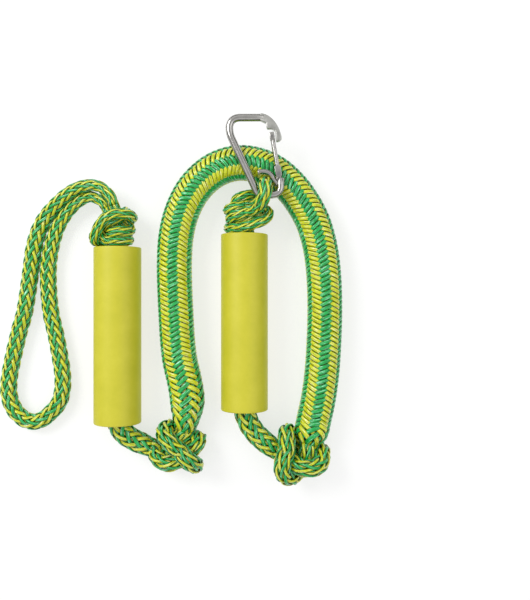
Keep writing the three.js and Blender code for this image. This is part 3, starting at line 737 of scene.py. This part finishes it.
SNAP_Z = 34.5
SNAP_BAR_RADIUS = 3.2
SNAP_TOP_Y = 126.9
NOSE_START = (64, SNAP_TOP_Y)
BAR_END = (77.9, 76.5)
SNAP_CORNERS = [((77.9, 62.7), 7.5), ((59.3, 62.7), 3.4), ((34.9, 114.5), 6), ((36, SNAP_TOP_Y), 8.5)]
CAPTIVE_RADIUS = 2.2
CAPTIVE_ROUTE = [
    (58.8, 81.4), (63.2, 82), (67.2, 81.2), (70.2, 78.9), (71.9, 75.4), (74.2, 72.4), (75.6, 71.4),
]
HINGE = np.array([76.4, 79.6])
GATE_TIP = np.array([70.3, 114.6])
GATE_LENGTH = float(np.linalg.norm(GATE_TIP - HINGE))
GATE_BAR_RADIUS = 1.9
GATE_BAR_START = 5.5  # from the hinge
HEAD_LENGTH = 7
HEAD_HALF_WIDTH = 2.1
HEAD_THICKNESS = 4.6
CHEEK_RADIUS = 2.5
CHEEK_THICKNESS = 1.35
CHEEK_HEIGHT = 2.1  # above and below the middle of the gate
ROOT_START = 3.6  # the solid root that joins the two cheeks
ROOT_END = 7
ROOT_HALF_WIDTH = 2.4
ROOT_THICKNESS = 3.2
NOSE_THICKNESS = 5.6
LUG_RADIUS = 2
LUG_THICKNESS = 2.2
LUG_FOOT_Y = 75.4


def bezier(a, b, c, d, steps=16):
    """Points on a cubic curve, without its last."""
    t = np.linspace(0, 1, steps, endpoint=False)[:, None]
    a, b, c, d = (np.asarray(point, float) for point in (a, b, c, d))
    return (1 - t) ** 3 * a + 3 * t * (1 - t) ** 2 * b + 3 * t * t * (1 - t) * c + t ** 3 * d


def snap_bar_line():
    """The centre line of the bent bar, in the hook's plane: straight runs joined by rounded corners."""
    points = [BAR_END]
    for i, (corner, size) in enumerate(SNAP_CORNERS):
        corner = np.array(corner, float)
        before = np.array(points[-1], float)
        after = np.array(SNAP_CORNERS[i + 1][0] if i + 1 < len(SNAP_CORNERS) else NOSE_START, float)
        entry = corner + unit(before - corner) * size
        leave = corner + unit(after - corner) * size
        curve = bezier(entry, entry + (corner - entry) * 2 / 3, leave + (corner - leave) * 2 / 3, leave)
        points += [tuple(point) for point in curve] + [tuple(leave)]
    points.append(NOSE_START)
    return [(x, y, SNAP_Z) for x, y in points]


def round_bar(name, line, radius, body, sides=32, rounding=0.5):
    """A bar along a line in millimetres, with its end edges rounded over."""
    line = np.array(line, float)
    start, end = line[0] - line[1], line[-1] - line[-2]
    insets = (0, 0.3, 1)
    first = [line[0] - unit(start) * rounding * t for t in insets[1:]]
    last = [line[-1] - unit(end) * rounding * t for t in reversed(insets[1:])]
    full = np.vstack([line[:1], first, line[1:-1], last, line[-1:]]) * MM
    narrow = [1 - rounding / radius * (1 - t) ** 2 for t in insets]
    radii = np.array(narrow + [1.0] * (len(line) - 2) + narrow[::-1]) * radius * MM
    piece = new_object(name, tube_points(full, radii, sides), tube_faces(len(full), sides), body, [STEEL])
    split_edges(piece, 60)
    return piece


def bevelled_plate(name, outline, thickness, bevel, body, material):
    """A flat plate in the hook's plane, with its edges rounded over. The outline is in millimetres."""
    flat = [Vector((x, y, SNAP_Z - thickness / 2)) * MM for x, y in outline]
    count = len(flat)
    vertices = [tuple(point) for point in flat]
    vertices += [(x, y, z + thickness * MM) for x, y, z in vertices]
    faces = [tuple(reversed(range(count))), tuple(range(count, 2 * count))]
    faces += [(i, (i + 1) % count, count + (i + 1) % count, count + i) for i in range(count)]
    piece = new_object(name, vertices, faces, body, [material])
    rounding = piece.modifiers.new("rounding", "BEVEL")
    rounding.width = bevel * MM
    rounding.segments = 3
    rounding.limit_method = "ANGLE"
    rounding.angle_limit = math.radians(40)
    split_edges(piece, 50)
    return piece


def gate_point(distance, aside=0.0):
    """A point on the gate, by its distance from the hinge and how far to the left of the gate's axis."""
    ahead = (GATE_TIP - HINGE) / GATE_LENGTH
    left = np.array([-ahead[1], ahead[0]])
    return tuple(HINGE + ahead * distance + left * aside)


def gate_rectangle(start, end, half_width):
    """The corners of a rectangle on the gate, between two distances from the hinge."""
    corners = ((start, -half_width), (end, -half_width), (end, half_width), (start, half_width))
    return [gate_point(distance, aside) for distance, aside in corners]


def add_snap_hook():
    bar = round_bar("snap_bar_polished", snap_bar_line(), SNAP_BAR_RADIUS, "snap_hook")
    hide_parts("snap_body")
    nose = [tuple(point) for point in bezier((61, 130), (68.5, 130), (76.5, 122.5), (79, 109.2), 24)]
    nose += [(79, 109.2), (77.4, 107.2), (74.3, 106.6), (73.6, 113.6), (73.2, 115.6), (71.9, 116.8),
             (70, 117.2), (66.6, 117.2), (66, 119.6), (66, 122), (61, 124)]
    plate = bevelled_plate("snap_nose_polished", nose, NOSE_THICKNESS, 0.7, "snap_hook", FLAT_STEEL)
    half_turn = np.linspace(0, math.pi, 16)
    lug = [(HINGE[0] + LUG_RADIUS * math.cos(a), HINGE[1] + LUG_RADIUS * math.sin(a)) for a in half_turn]
    lug += [(HINGE[0] - LUG_RADIUS, LUG_FOOT_Y), (HINGE[0] + LUG_RADIUS, LUG_FOOT_Y)]
    tongue = bevelled_plate("snap_lug_polished", lug, LUG_THICKNESS, 0.2, "snap_hook", FLAT_STEEL)
    captive_line = smooth_line([(x, y, SNAP_Z) for x, y in CAPTIVE_ROUTE], 1.0)
    captive = round_bar("captive_bar_polished", captive_line, CAPTIVE_RADIUS, "snap_hook", 24)
    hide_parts("captive_bar")
    for piece in (plate, tongue):
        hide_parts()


def add_gate():
    """The gate's round bar, its square head and the two cheeks that hold it on the hinge lug."""
    bar_line = [(*gate_point(d), SNAP_Z) for d in np.linspace(GATE_BAR_START, GATE_LENGTH - 1, 12)]
    bar = round_bar("gate_bar_polished", bar_line, GATE_BAR_RADIUS, "gate", 20)
    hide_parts("gate")
    head = gate_rectangle(GATE_LENGTH - HEAD_LENGTH, GATE_LENGTH, HEAD_HALF_WIDTH)
    block = bevelled_plate("gate_head_polished", head, HEAD_THICKNESS, 0.5, "gate", STEEL)
    half_turn = np.linspace(math.pi, 2 * math.pi, 14)
    cheek = [gate_point(CHEEK_RADIUS * math.sin(a), CHEEK_RADIUS * math.cos(a)) for a in half_turn]
    cheek += [gate_point(ROOT_END, CHEEK_RADIUS), gate_point(ROOT_END, -CHEEK_RADIUS)]
    pieces = [bar, block]
    for side, name in ((1, "gate_cheek_upper"), (-1, "gate_cheek_lower")):
        made = bevelled_plate(name, cheek, CHEEK_THICKNESS, 0.25, "gate", STEEL)
        made.data.transform(Matrix.Translation((0, 0, side * CHEEK_HEIGHT * MM)))
        pieces.append(made)
    root = gate_rectangle(ROOT_START, ROOT_END, ROOT_HALF_WIDTH)
    pieces.append(bevelled_plate("gate_root_polished", root, ROOT_THICKNESS, 0.1, "gate", STEEL))
    for piece in pieces[1:]:
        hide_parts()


add_snap_hook()
add_gate()
for cad_name in ("gate_hinge_pin", "gate_latch_pin", "gate_spring", "gate_plunger"):
    CAD[cad_name].data.materials.clear()
    CAD[cad_name].data.materials.append(DARK_STEEL)
for cad_name in ("core_whipping_1", "core_whipping_2"):
    CAD[cad_name].data.materials.clear()
    CAD[cad_name].data.materials.append(THREAD)


# ---------------------------------------------------------------- floor and light


def add_floor():
    mesh = bpy.data.meshes.new("floor")
    half = 3.0
    corners = [(-half, -half, 0), (half, -half, 0), (half, half, 0), (-half, half, 0)]
    mesh.from_pydata(corners, [], [(0, 1, 2, 3)])
    material, _, _ = new_material("floor", Roughness=0.9, Specular_IOR_Level=0.1,
                                  Base_Color=(0.36, 0.36, 0.36, 1), Emission_Color=(1, 1, 1, 1),
                                  Emission_Strength=0.66)
    mesh.materials.append(material)
    floor = bpy.data.objects.new("floor", mesh)
    bpy.context.scene.collection.objects.link(floor)


def add_light(name, place, size, power, aim=(0, 0, 0)):
    data = bpy.data.lights.new(name, "AREA")
    data.size = size
    data.energy = power
    light = bpy.data.objects.new(name, data)
    light.location = place
    light.rotation_euler = (Vector(aim) - Vector(place)).to_track_quat("-Z", "Y").to_euler()
    bpy.context.scene.collection.objects.link(light)


def light_the_scene():
    """A bright dome that is darker overhead and dark near the horizon, and a soft light from each side."""
    world = bpy.data.worlds.new("studio")
    world.use_nodes = True
    tree = world.node_tree
    direction = node(tree, "ShaderNodeTexCoord")
    parts = node(tree, "ShaderNodeSeparateXYZ")
    tree.links.new(direction.outputs["Generated"], parts.inputs["Vector"])
    grey = [(0.10, 0.10), (0.32, 0.12), (0.42, 0.88), (0.86, 0.88), (0.95, 0.60)]
    stops = [(height, (level, level, level)) for height, level in grey]
    colour = colour_ramp(tree, parts.outputs["Z"], stops)
    tree.links.new(colour, tree.nodes["Background"].inputs["Color"])
    bpy.context.scene.world = world
    add_light("key", (-0.9, 0.6, 1.1), 0.7, 12)
    add_light("fill", (1.0, 0.2, 0.8), 0.9, 2)
    bpy.context.scene.view_settings.view_transform = "Standard"


add_floor()
light_the_scene()
